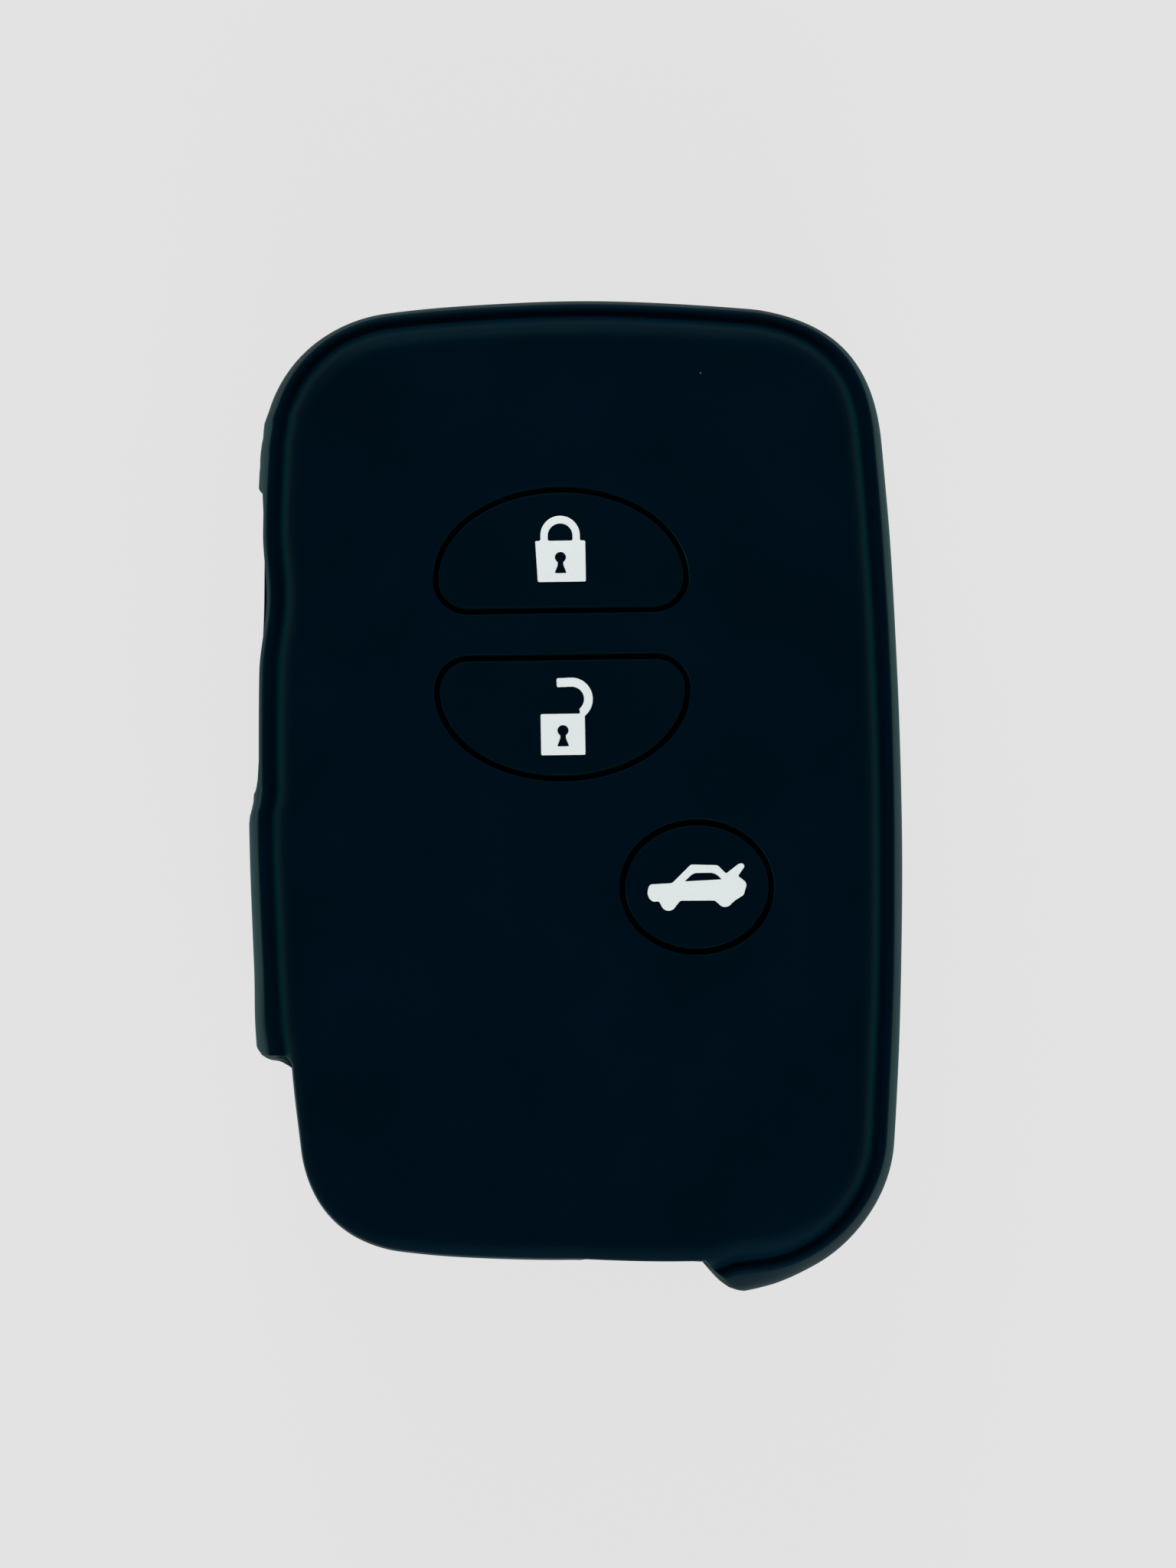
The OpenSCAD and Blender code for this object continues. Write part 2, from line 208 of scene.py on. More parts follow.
edge_c = Vector((FACE_IN + FACE_R, face_z - FACE_R))
rim_c = fillet_center(BULGE_R, RIM_R, face_z - RIM_DROP - RIM_R)
valley_z = face_z - VALLEY_DROP
face_foot = tangent_foot(edge_c, FACE_R, FACE_END, valley_z)
rim_foot = tangent_foot(rim_c, RIM_R, RIM_START, valley_z)
valley = face_foot.lerp(rim_foot, 0.5)
back_c = fillet_center(BULGE_R, BACK_R, BACK_R)
lip_c = fillet_center(INNER_R, LIP_R, LIP_T + LIP_R)
pocket_c = fillet_center(INNER_R, POCKET_R, panel_z - POCKET_R)
print("face edge", edge_c.to_tuple(2), "valley", valley.to_tuple(2), "rim", rim_c.to_tuple(2))

# %% The wall's outside and inside


def touch(center):
    """Angle in degrees at which a fillet touches the bulge."""
    return 180 - math.degrees(math.atan((center.y - BULGE_Z) / (BULGE_R - center.x)))


def wall_in(z):
    """How far the outside of the wall lies inward at a height."""
    return BULGE_R - math.sqrt(BULGE_R ** 2 - (z - BULGE_Z) ** 2)


def pocket_in(z):
    """How far the inside of the wall lies inward at a height."""
    for center, radius, sign in ((lip_c, LIP_R, 1), (pocket_c, POCKET_R, -1)):
        joint = BULGE_Z + INNER_R * math.sin(math.radians(touch(center)))
        if (joint - z) * sign > 0:
            return center.x - math.sqrt(radius ** 2 - (z - center.y) ** 2)
    return BULGE_R - math.sqrt(INNER_R ** 2 - (z - BULGE_Z) ** 2)


def bulge(first, last, steps):
    """Points down the outside of the wall."""
    heights = [first + (last - first) * i / steps for i in range(steps + 1)]
    return [Vector((wall_in(z), z)) for z in heights]


print("the wall at its widest:", wall_in(BULGE_Z), "to", round(pocket_in(BULGE_Z), 2), "mm in")

# %% Rows of the section's outside, from the panel down to the back lip
RING_IN = 6  # the sheet's two ends, on the flat panel
PANEL_ROWS_IN = (5.2, 4.5)
SLOT_Z = (2.6, 12)
GAP_IN, GAP_LIP_IN = 2.5, 3.4  # the key ring gap's cut, at panel and lip
SOFT, SLOT_SOFT = 0.12, 0.2  # how much the windows' edges are rolled
ABOVE_CUT, BELOW_CUT = 6, 5  # degrees of the face edge that the roll takes

gap_top = Vector((GAP_IN, edge_c.y + math.sqrt(FACE_R ** 2 - (GAP_IN - edge_c.x) ** 2)))
cut_angle = angle_at(edge_c, FACE_R, gap_top.y)
rim_touch_z = BULGE_Z + BULGE_R * math.sin(math.radians(touch(rim_c)))
back_touch_z = BULGE_Z + BULGE_R * math.sin(math.radians(touch(back_c)))
slot_rows_z = (SLOT_Z[1] + SLOT_SOFT, SLOT_Z[0] - SLOT_SOFT)

panel_rows = [Vector((inset, face_z)) for inset in (RING_IN, *PANEL_ROWS_IN)]
panel_rows += arc(edge_c, FACE_R, 90, cut_angle - ABOVE_CUT, steps=9)
high_rows = arc(edge_c, FACE_R, cut_angle + BELOW_CUT, FACE_END, steps=3)
high_rows += rounded(high_rows[-1], face_foot, valley, steps=6)[1:]
rim_rows = arc(rim_c, RIM_R, RIM_START, touch(rim_c), steps=8)
high_rows += rounded(valley, rim_foot, rim_rows[0], steps=4)[1:] + rim_rows[1:]
high_rows += bulge(rim_touch_z, slot_rows_z[0], steps=4)[1:]
slot_rows = bulge(*slot_rows_z, steps=20)[1:]
low_rows = bulge(slot_rows_z[1], back_touch_z, steps=2)[1:]
low_rows += arc(back_c, BACK_R, touch(back_c), 270, steps=9)[1:]
low_rows += [Vector((GAP_LIP_IN + SOFT, 0))]
outside_rows = panel_rows + high_rows + slot_rows + low_rows
print(len(outside_rows), "rows outside, from", round(face_z, 1), "mm down to", low_rows[-1].y)

# %% Rows round the lip and up the inside, to the panel's underside
LIP_ROWS_IN, LIP_TOP_ROWS_IN = (4.1, 4.9), (4.9, 4.2)
LIP_START = 268  # degrees, just off the lip's flat
GAP_DROP = 2.6

gap_low = Vector((GAP_LIP_IN, 0))
gap_in_low = Vector((GAP_LIP_IN, LIP_T))
gap_in_top = Vector((pocket_in(face_z - GAP_DROP), face_z - GAP_DROP))
gap_in_angle = angle_at(pocket_c, POCKET_R, gap_in_top.y + SOFT)

lip_rows = [Vector((inset, 0)) for inset in LIP_ROWS_IN]
lip_rows += arc((LIP_W - LIP_T / 2, LIP_T / 2), LIP_T / 2, -90, 90, steps=8)
lip_rows += [Vector((inset, LIP_T)) for inset in LIP_TOP_ROWS_IN]
in_low_rows = [Vector((lip_c.x + SOFT, LIP_T))]
in_low_rows += arc(lip_c, LIP_R, LIP_START, angle_at(lip_c, LIP_R, slot_rows_z[1]),
                   steps=len(low_rows) - 1)[:-1]
in_slot_rows = [Vector((pocket_in(slot_rows_z[1]), slot_rows_z[1]))]
in_slot_rows += [Vector((pocket_in(row.y), row.y)) for row in slot_rows[-2::-1]]
in_high_rows = arc(pocket_c, POCKET_R, angle_at(pocket_c, POCKET_R, slot_rows_z[0]),
                   gap_in_angle, steps=len(high_rows))
underside_rows = arc(pocket_c, POCKET_R, gap_in_angle, 90, steps=6)[1:]
underside_rows += [Vector((RING_IN, panel_z))]

rows = (outside_rows + lip_rows
        + in_low_rows + in_slot_rows + in_high_rows + underside_rows)
gap_rows = (len(panel_rows) - 1, len(outside_rows) - 1)
slot_rows_at = (gap_rows[0] + len(high_rows), gap_rows[1] - len(low_rows))
inner_first = gap_rows[1] + len(lip_rows) + 1


def mirrored(row):
    """The row inside the wall that stands behind a row outside it, and the other way."""
    return inner_first + gap_rows[1] - row


print(len(rows), "rows, the wall's outside is rows", gap_rows)

# %% [markdown]
# ## Two windows in the sheet
# The sheet has two holes. A slot in the left wall leaves a finger's way to the fob's side,
# and a gap round the bottom left corner lets a key ring through. A boolean cut would leave
# ragged triangles along them, so the sheet's own columns are bent to follow each hole: its
# quads end exactly on the edge, which can then be rolled over softly from the outside of
# the wall to the inside.

# %% Where the windows' edges run
SLOT_Y, SLOT_R = (0.6, 24.2), 2.2
WALL_END_Y, WALL_END_R, GAP_R = -20.05, 1.15, 0.9  # where the left wall ends
TAIL_X, TAIL_SLOPE, TAIL_R = 9.9, 50, 0.9  # the bottom wall's slanted start
TAIL_HOOK, TAIL_HOOK_R = 0.15, 0.3  # a nick where it leaves the panel
TAIL_ROUNDS = 3  # after these its place has settled


def corner_step(depth, radius):
    """How far a rounded corner still holds back at a depth inside it."""
    depth = min(max(depth, 0), radius)
    return radius - math.sqrt(radius ** 2 - (radius - depth) ** 2)


def slot_edges(z, soft):
    """Where the slot starts and ends along the outline, at a height."""
    radius = SLOT_R + soft
    depth = min(z - SLOT_Z[0], SLOT_Z[1] - z) + soft
    step = corner_step(depth, radius) - soft
    return along_left(SLOT_Y[1]) + step, along_left(SLOT_Y[0]) - step


def wall_end(inset):
    """Where the left wall ends, at a distance inward of the widest line."""
    hollow = corner_step(GAP_IN - inset, GAP_R)
    return along_left(WALL_END_Y + corner_step(inset, WALL_END_R) - hollow)


def tail_end(inset):
    """Where the bottom wall starts again: a slanted cut with a rounded tip."""
    slope = math.tan(math.radians(TAIL_SLOPE))
    out = GAP_IN - inset
    x = TAIL_X
    for _ in range(TAIL_ROUNDS):
        x = TAIL_X + (out - x ** 2 / (2 * END_R)) / slope
    x -= TAIL_HOOK * math.exp(-abs(out) / TAIL_HOOK_R)
    return along_bottom(x + corner_step(inset, TAIL_R))


def gap_edges(inset, soft):
    """Where the key ring gap starts and ends along the outline, at an inset."""
    return wall_end(inset) - soft, tail_end(inset) + soft


print("slot from", [round(along, 1) for along in slot_edges(BULGE_Z, 0)], "mm along")
print("gap from", [round(along, 1) for along in gap_edges(0, 0)], "mm along")

# %% The windows' rows


class Window:
    """A hole in the sheet: its rows outside the wall, and its edges on each row."""

    def __init__(self, first_row, last_row, edges_on):
        self.first_row, self.last_row = first_row, last_row
        self.edges_on = edges_on

    def nearest_row(self, row):
        """The row itself where it crosses the window, or else the window's nearest."""
        if row > gap_rows[1] + len(lip_rows) // 2:
            return mirrored(min(max(mirrored(row), self.first_row), self.last_row))
        return min(max(row, self.first_row), self.last_row)

    def edges(self, row):
        """Where the columns beside the window stand on a row."""
        return self.edges_on(self.nearest_row(row))

    def inside(self, row):
        """Whether a row, inside or outside the wall, crosses the window."""
        outer = mirrored(row) if row >= inner_first else row
        return self.first_row < outer < self.last_row


slot = Window(*slot_rows_at, lambda row: slot_edges(rows[row].y, SLOT_SOFT))
gap = Window(*gap_rows, lambda row: gap_edges(rows[row].x, SOFT))
print("slot: rows", slot.first_row, "to", slot.last_row)
print("gap: rows", gap.first_row, "to", gap.last_row)

# %% Bend the columns of the sheet to the windows
STEP = 0.55  # between plain columns
BLEND, BLEND_COLUMNS = 5, 9  # way, and columns on it, from a plain column to a bent one
SLOT_COLUMNS, GAP_COLUMNS = 40, 90
SLOT_MIDDLE, GAP_MIDDLE = 10, 8  # rows below a window's first one


def steps_between(first, last):
    """How many plain columns fit between two places along the outline."""
    return max(1, round((last - first) / STEP))


def column_plan():
    """Each column as the two lines it lies between, and its share of the way."""
    slot_first, slot_last = slot.edges(slot.first_row + SLOT_MIDDLE)
    gap_first, gap_last = gap.edges(gap.first_row + GAP_MIDDLE)
    fixed = [0, slot_first - BLEND, slot_last + BLEND, gap_first - BLEND, gap_last + BLEND]
    marks = [
        (fixed[0], fixed[1], steps_between(fixed[0], fixed[1])),
        (fixed[1], (slot, 0), BLEND_COLUMNS),
        ((slot, 0), (slot, 1), SLOT_COLUMNS),
        ((slot, 1), fixed[2], BLEND_COLUMNS),
        (fixed[2], fixed[3], steps_between(fixed[2], fixed[3])),
        (fixed[3], (gap, 0), BLEND_COLUMNS),
        ((gap, 0), (gap, 1), GAP_COLUMNS),
        ((gap, 1), fixed[4], BLEND_COLUMNS),
        (fixed[4], perimeter, steps_between(fixed[4], perimeter))]
    return [(a, b, i / count) for a, b, count in marks for i in range(count)]


columns = column_plan()


def along_at(mark, row):
    """Where a mark of the plan stands on a row: a fixed place, or a window's edge."""
    if isinstance(mark, tuple):
        window, side = mark
        return window.edges(row)[side]
    return mark


def column_along(column, row):
    """Distance along the outline of a column on a row."""
    a, b, share = columns[column]
    first, last = along_at(a, row), along_at(b, row)
    return first + (last - first) * share


def window_columns(window):
    """The columns that lie on a window's two edges."""
    starts_of = [a for a, b, share in columns]
    return starts_of.index((window, 0)), starts_of.index((window, 1))


print(len(columns), "columns; slot", window_columns(slot), "gap", window_columns(gap))

# %% [markdown]
# ## Softness
# A rigid case would follow the drawing exactly. This one is rubber 1.4 mm thick: the strip
# that bridges the slot sags inward by up to 0.9 mm, and the rail below the slot by a little.
# The shoulder above the slot keeps a ragged flash line from the mould, and the wall flares
# where it ends. At the key ring gap the panel's free edge shrinks back, most at the side and
# at the corner, and then runs straight to the loose end of the bottom wall, which flares out.
# No stretch of wall is quite straight.
#
# Each of these is a shift of the inset, written as a depth times one or more smooth steps
# along the cover and up the wall, so the outside and inside of the wall move together. A
# pair of numbers is a step: where it starts, and where it is full.

# %% Smooth steps


def smooth(low, high, value):
    """Nothing at low, one at high, and a smooth step between. Low may be the larger."""
    share = min(max((value - low) / (high - low), 0), 1)
    return share * share * (3 - 2 * share)


def hump(middle, reach, value):
    """One at the middle, falling smoothly to nothing at a reach on both sides."""
    return smooth(reach, 0, abs(value - middle))


def patch(middle, reach, spot):
    """One at a spot seen from above, falling smoothly to nothing at a reach around it."""
    return smooth(reach, 0, (spot - Vector(middle)).length)


print("a smooth step:", [round(smooth(0, 4, value), 2) for value in range(5)])

# %% The left side
STRIP_SAG, STRIP_Z = 0.38, (2, 6)
STRIP_FOOT_Y, STRIP_HEAD_Y = (-1.8, 0.2), (30, 16)
DIP_SAG, DIP_Y, DIP_REACH, DIP_Z = 0.45, 15, 5.5, (3, 12)
RAIL_SAG, RAIL_Y, RAIL_REACH, RAIL_Z = 0.17, 14.5, 7, (6, 2)
SHOULDER_SAG, SHOULDER_Y, SHOULDER_REACH, SHOULDER_Z = 0.17, 29, 7, (0.5, 6)
WALL_FLARE, WALL_FLARE_Y, WALL_FLARE_Z = 0.14, (-13, -18), (14, 12.5)
FLASH, FLASH_Y, FLASH_REACH, FLASH_MM = 0.14, 28, 4.5, 1.25
FLASH_SLICE = 2  # the slice of the noise that is taken


def left_sag(spot, z):
    """Strip and rail at the slot, shoulder with its flash line, and the wall's end."""
    across_slot = smooth(*STRIP_FOOT_Y, spot.y) * smooth(*STRIP_HEAD_Y, spot.y)
    strip = STRIP_SAG * across_slot * smooth(*STRIP_Z, z)
    dip = DIP_SAG * hump(DIP_Y, DIP_REACH, spot.y) * smooth(*DIP_Z, z)
    rail = RAIL_SAG * hump(RAIL_Y, RAIL_REACH, spot.y) * smooth(*RAIL_Z, z)
    shoulder = SHOULDER_SAG * hump(SHOULDER_Y, SHOULDER_REACH, spot.y) * smooth(*SHOULDER_Z, z)
    wall_flare = WALL_FLARE * smooth(*WALL_FLARE_Y, spot.y) * smooth(*WALL_FLARE_Z, z)
    steps = noise.noise(Vector((0, spot.y / FLASH_MM, FLASH_SLICE)))
    flash = FLASH * hump(FLASH_Y, FLASH_REACH, spot.y) * steps
    return strip + dip + rail + shoulder - wall_flare + flash


print("strip over the slot:", round(left_sag(Vector((-half_w, DIP_Y)), SLOT_Z[1]), 2), "mm in")

# %% The right side
FULL_BY, FULL_CORNER, FULL_REACH = 0.4, (21.6, 34.2), 7
LEAN_BY, LEAN_CORNER, LEAN_REACH = 0.14, (21.5, -34), 8
TAIL_FLARE, TAIL_Y, TAIL_Z = 0.6, (-20, -30), (14.5, 10)
TAIL_BACK_X, TAIL_TIP_X = (18, 11.5), (8, 10.5)


def right_sag(spot, z):
    """One corner fuller than drawn, the other leaner, and the flared end of the wall."""
    full = FULL_BY * patch(FULL_CORNER, FULL_REACH, spot)
    lean = LEAN_BY * patch(LEAN_CORNER, LEAN_REACH, spot)
    tail = smooth(*TAIL_BACK_X, spot.x) * smooth(*TAIL_TIP_X, spot.x) * smooth(*TAIL_Y, spot.y)
    return lean - full - TAIL_FLARE * tail * smooth(*TAIL_Z, z)


print("tail:", round(-right_sag(Vector((TAIL_X + 1, -half_l)), BULGE_Z), 2), "mm out")

# %% The panel's free edge
FREE_SAG, FREE_Y, FREE_X, FREE_Z = 0.23, (-17, -21), (12, 9.5), (8, 12)
STRAIGHT_RUN, STRAIGHT_X = 0.07, -0.5  # mm outward per mm, right of this x
FREE_SIDE_SAG, FREE_SIDE, FREE_SIDE_REACH = 0.2, (-22, -28), 8
FREE_CORNER_SAG, FREE_CORNER, FREE_CORNER_REACH = 0.11, (-16, -35), 6


def free_edge_sag(spot, z):
    """The panel's free edge: drawn in at the side and corner, then straight to the tail."""
    depth = FREE_SAG - STRAIGHT_RUN * max(0, spot.x - STRAIGHT_X)
    depth += FREE_SIDE_SAG * patch(FREE_SIDE, FREE_SIDE_REACH, spot)
    depth += FREE_CORNER_SAG * patch(FREE_CORNER, FREE_CORNER_REACH, spot)
    return depth * smooth(*FREE_Y, spot.y) * smooth(*FREE_X, spot.x) * smooth(*FREE_Z, z)


print("free edge at the side:", round(free_edge_sag(Vector(FREE_SIDE), face_z), 2), "mm in")

# %% A point of the skin
RIPPLE, RIPPLE_MM, RIPPLE_Z = 0.05, 7.7, (0, 4)
STEADY_IN = 2  # from here to the ring the sag dies out


def sag(spot, z):
    """How far the skin has moved inward, at a place seen from above and a height."""
    waves = noise.noise(Vector((spot.x, spot.y, z)) / RIPPLE_MM)
    ripple = RIPPLE * (1 + waves) * smooth(*RIPPLE_Z, z)
    side = left_sag(spot, z) if spot.x < 0 else right_sag(spot, z)
    return ripple + side + free_edge_sag(spot, z)


def skin_point(along, inset, z):
    """A point of the skin, in millimetres, with its sag."""
    spot = outline_point(along, inset)
    spot = outline_point(along, inset + sag(spot, z) * smooth(RING_IN, STEADY_IN, inset))
    return Vector((spot.x, spot.y, z))


print("rim over the slot:", skin_point(along_left(DIP_Y), rim_c.x, rim_c.y).to_tuple(2))

# %% [markdown]
# ## Meshes
# Each piece is gathered as plain points and faces, and becomes a mesh at the end. Loops of
# points are bridged with quads. A flat area with holes, such as the panel, is filled by a
# constrained Delaunay triangulation, which keeps every loop as it is. Weighted normals make
# the small rolled edges shade softly while the flat areas beside them stay flat.

# %% A form: points and faces that will be one mesh
WITH_HOLES = 2  # the triangulation's own number for this kind
SAME_POINT = 1e-7  # points nearer than this would be merged


def turns_left(spots):
    """Whether a closed line runs anticlockwise."""
    return sum(a.cross(b) for a, b in zip(spots, spots[1:] + spots[:1])) > 0


class Form:
    """Points in millimetres and faces that will be one mesh."""

    def __init__(self):
        self.points, self.faces = [], []

    def add(self, point):
        """Keeps a point and gives its number."""
        self.points.append(Vector(point))
        return len(self.points) - 1

    def loop(self, spots, z):
        """Keeps a flat line of points at a height and gives their numbers."""
        return [self.add((spot.x, spot.y, z)) for spot in spots]

    def bridge(self, one, other):
        """Quads between two closed loops of as many points."""
        for i in range(len(one)):
            after = (i + 1) % len(one)
            self.faces.append((one[i], one[after], other[after], other[i]))

    def fill(self, loops):
        """Fills the flat area between loops. A loop in a hole is an island."""
        numbers = [number for loop in loops for number in loop]
        spots = [self.points[number].xy for number in numbers]
        areas, start = [], 0
        for loop in loops:
            area = range(start, start + len(loop))
            areas.append(area if turns_left([spots[i] for i in area]) else area[::-1])
            start += len(loop)
        filled = delaunay_2d_cdt(spots, [], areas, WITH_HOLES, SAME_POINT)
        faces, origins = filled[2], filled[3]
        self.faces += [tuple(numbers[origins[v][0]] for v in face) for face in faces]


square = [Vector(spot) for spot in ((0, 0), (1, 0), (1, 1), (0, 1))]
print("a square drawn this way turns left:", turns_left(square))

# %% A piece: the mesh of a form, as an object of the scene
SHARP = 40  # degrees between faces


def make_piece(form, name, material):
    """Turns a form into an object of the scene."""
    mesh = bpy.data.meshes.new(name)
    mesh.from_pydata([point * MM for point in form.points], [], form.faces)
    solid = bmesh.new()
    solid.from_mesh(mesh)
    bmesh.ops.recalc_face_normals(solid, faces=solid.faces)
    open_edges = sum(not edge.is_manifold for edge in solid.edges)
    solid.to_mesh(mesh)
    solid.free()
    mesh.shade_smooth()
    mesh.set_sharp_from_angle(angle=math.radians(SHARP))
    mesh.materials.append(material)
    piece = bpy.data.objects.new(name, mesh)
    bpy.context.collection.objects.link(piece)
    shading = piece.modifiers.new("even_shading", "WEIGHTED_NORMAL")
    shading.keep_sharp = True
    print(name, len(mesh.vertices), "points,", len(mesh.polygons), "faces,",
          open_edges, "open edges")
    return piece


# %% [markdown]
# ## Materials
# All ten pieces are silicone rubber, compression moulded between spark-eroded steel halves.
# The steel leaves a fine matt grain, so nothing mirrors: light only gathers in soft lines
# along the rounded edges. Carbon black with a little blue-green pigment makes the colour.
# Rubber reflects far less than a hard plastic does, and it has a dry, powdery bloom, which
# veils it in a faint teal where the surface turns away from the eye. The shader's sheen is
# made for that. One function makes every shade of rubber, because skin, pads, webs and icons
# differ in polish, and skin, pads and icons in pigment, but not in kind. The webs' darker
# colour is painted shade of the deep grooves they lie in.

# %% Colour and node helpers


def srgb(code):
    """A hex colour as it is seen on a screen, turned to the linear values of the render."""
    parts = [int(code[i:i + 2], 16) / 255 for i in (1, 3, 5)]
    linear = [c / 12.92 if c <= 0.04045 else ((c + 0.055) / 1.055) ** 2.4 for c in parts]
    return (*linear, 1)


def add_node(tree, kind, settings=(), links=()):
    """Adds a node. Settings name its properties or sockets, links the sockets to feed."""
    node = tree.nodes.new(kind)
    for name, value in dict(settings).items():
        if isinstance(name, int) or name in node.inputs:
            node.inputs[name].default_value = value
        else:
            setattr(node, name, value)
    for name, source in dict(links).items():
        tree.links.new(source, node.inputs[name])
    return node


def new_material(name):
    """An empty material and its tree of nodes."""
    material = bpy.data.materials.new(name)
    material.use_nodes = True
    material.node_tree.nodes.clear()
    return material, material.node_tree


print("middle grey is", round(srgb("#808080")[0], 3), "in linear light")

# %% Moulded silicone
SILICONE_IOR = 1.41
DULL = 0.035  # specular level: the dry grain traps most of what clean plastic, at 0.5, mirrors
BLOOM_ROUGH = 0.4  # how far the veil reaches in from where the surface turns away
GRAIN_MM = 0.22  # spark-eroded grain is finer, and is drawn this coarse so that it shows
GRAIN_DEPTH, GRAIN_SHARE = 0.02, 0.25  # mm, and how much of it the bump shows
MOTTLE_MM = 9  # patches where the pigment lies a little thinner
ROUGH_VARIES = 0.05  # and is a little smoother or rougher
DUST_MM, DUST_R, DUST = 7, 0.07, "#46585a"  # between specks, their radius, their colour
MIX_FACTOR, MIX_A, MIX_B, MIX_RESULT = 0, 6, 7, 2  # the mix node's sockets for colours


def moulded_silicone(name, dark, light, roughness, shine, bloom, dusty=False):
    """Matt rubber with mould grain, mottling, a bloom and, on the skin, specks of dust."""
    material, tree = new_material(name)
    place = add_node(tree, "ShaderNodeTexCoord").outputs["Object"]
    mottle = add_node(tree, "ShaderNodeTexNoise", {"Scale": 1 / (MOTTLE_MM * MM), "Detail": 3},
                      {"Vector": place})
    color = add_node(tree, "ShaderNodeMix",
                     {"data_type": "RGBA", MIX_A: srgb(dark), MIX_B: srgb(light)},
                     {MIX_FACTOR: mottle.outputs["Fac"]}).outputs[MIX_RESULT]
    if dusty:
        cells = add_node(tree, "ShaderNodeTexVoronoi",
                         {"Scale": 1 / (DUST_MM * MM), "Randomness": 1}, {"Vector": place})
        near = add_node(tree, "ShaderNodeMath", {"operation": "LESS_THAN", 1: DUST_R / DUST_MM},
                        {0: cells.outputs["Distance"]})
        color = add_node(tree, "ShaderNodeMix", {"data_type": "RGBA", MIX_B: srgb(DUST)},
                         {MIX_FACTOR: near.outputs[0], MIX_A: color}).outputs[MIX_RESULT]
    grain = add_node(tree, "ShaderNodeTexNoise",
                     {"Scale": 1 / (GRAIN_MM * MM), "Detail": 2, "Roughness": 0.6},
                     {"Vector": place})
    bump = add_node(tree, "ShaderNodeBump",
                    {"Strength": GRAIN_SHARE, "Distance": GRAIN_DEPTH * MM},
                    {"Height": grain.outputs["Fac"]})
    rough = add_node(tree, "ShaderNodeMapRange",
                     {"To Min": roughness - ROUGH_VARIES, "To Max": roughness + ROUGH_VARIES},
                     {"Value": mottle.outputs["Fac"]})
    shader = add_node(
        tree, "ShaderNodeBsdfPrincipled",
        {"IOR": SILICONE_IOR, "Specular IOR Level": DULL, "Specular Tint": srgb(shine),
         "Sheen Weight": bloom, "Sheen Roughness": BLOOM_ROUGH, "Sheen Tint": srgb(shine)},
        {"Base Color": color, "Roughness": rough.outputs["Result"],
         "Normal": bump.outputs["Normal"]})
    add_node(tree, "ShaderNodeOutputMaterial", {}, {"Surface": shader.outputs["BSDF"]})
    return material


# %% The four rubbers
TEAL_SHINE, PLAIN_SHINE = "#00c8c4", "#ffffff"
BLOOM, WEB_BLOOM = 0.075, 0.03

# The skin's spark-eroded grain spreads each highlight into a wide, dim teal line.
skin_rubber = moulded_silicone(
    "teal_black_silicone_moulded", "#000913", "#000e1c", 0.55, TEAL_SHINE, BLOOM, dusty=True)
# The pads come from the same pigment, a shade deeper than the skin, and a little rougher.
pad_rubber = moulded_silicone(
    "teal_black_silicone_pad", "#000912", "#000d1a", 0.58, TEAL_SHINE, BLOOM)
# The webs are thin and lie deep in the grooves. Their colour, darker than the skin's, is
# painted shade of the grooves.
web_rubber_painted_shade = moulded_silicone(
    "teal_black_silicone_web", "#00040c", "#000610", 0.7, TEAL_SHINE, WEB_BLOOM)
# The icons are filled with titanium white, which is opaque and hides any tint or bloom.
icon_rubber = moulded_silicone(
    "white_silicone_fill", "#dbe2e2", "#e6eded", 0.5, PLAIN_SHINE, 0)
print("materials:", [material.name for material in bpy.data.materials])

# %% [markdown]
# ## The moulded skin
# This is the piece that a mould maker would be proud of: raised face, valley, rim, bulging
# wall and undercut lip in one go. A subdivided box could come near it, but its radii would
# only be guessed. It is swept as one sheet over the rows and columns found above, then the
# two windows get their rolled edges, and the panel is closed on both sides with openings for
# the three pads.

# %% Outlines of the pads
PAD_C = 2.2  # round corners of the two D-shaped pads
DOME_TURN, OVAL_TURN = 3, 3.75  # degrees between points


def dome_outline(node, flip, grow):
    """A half ellipse on a straight foot with round corners, grown outward."""
    low, high = box_mm(node)
    a, b = (high.x - low.x) / 2, high.y - low.y - PAD_C
    turns = [math.radians(DOME_TURN * i) for i in range(round(180 / DOME_TURN) + 1)]
    spots = [Vector(((a + grow) * math.cos(t), (b + grow) * math.sin(t))) for t in turns]
    spots += arc((PAD_C - a, 0), PAD_C + grow, 180, 270, steps=12)[1:]
    spots += arc((a - PAD_C, 0), PAD_C + grow, 270, 360, steps=12)[:-1]
    middle = Vector(((low.x + high.x) / 2, low.y + PAD_C))
    if flip:
        spots = [Vector((spot.x, -spot.y)) for spot in reversed(spots)]
        middle.y = high.y - PAD_C
    return [middle + spot for spot in spots]


def oval_outline(node, grow):
    """An ellipse that fills the node's box, grown outward."""
    low, high = box_mm(node)
    a, b = (high.x - low.x) / 2 + grow, (high.y - low.y) / 2 + grow
    middle = ((low + high) / 2).xy
    turns = [math.radians(OVAL_TURN * i) for i in range(round(360 / OVAL_TURN))]
    return [middle + Vector((a * math.cos(t), b * math.sin(t))) for t in turns]


outlines = {
    "lock": lambda grow: dome_outline("lock_button", False, grow),
    "unlock": lambda grow: dome_outline("unlock_button", True, grow),
    "trunk": lambda grow: oval_outline("trunk_button", grow)}
print("points of each pad:", {name: len(outline(0)) for name, outline in outlines.items()})

# %% Rolled edges and stacks of loops


def rolled(first, last, z, radius, steps=5):
    """Growth and height along an edge rolled from a flat top down into a wall."""
    turns = [math.pi / 2 * i / steps for i in range(steps + 1)]
    return [(first + (last - first) * math.sin(t), z - radius * (1 - math.cos(t)))
            for t in turns]


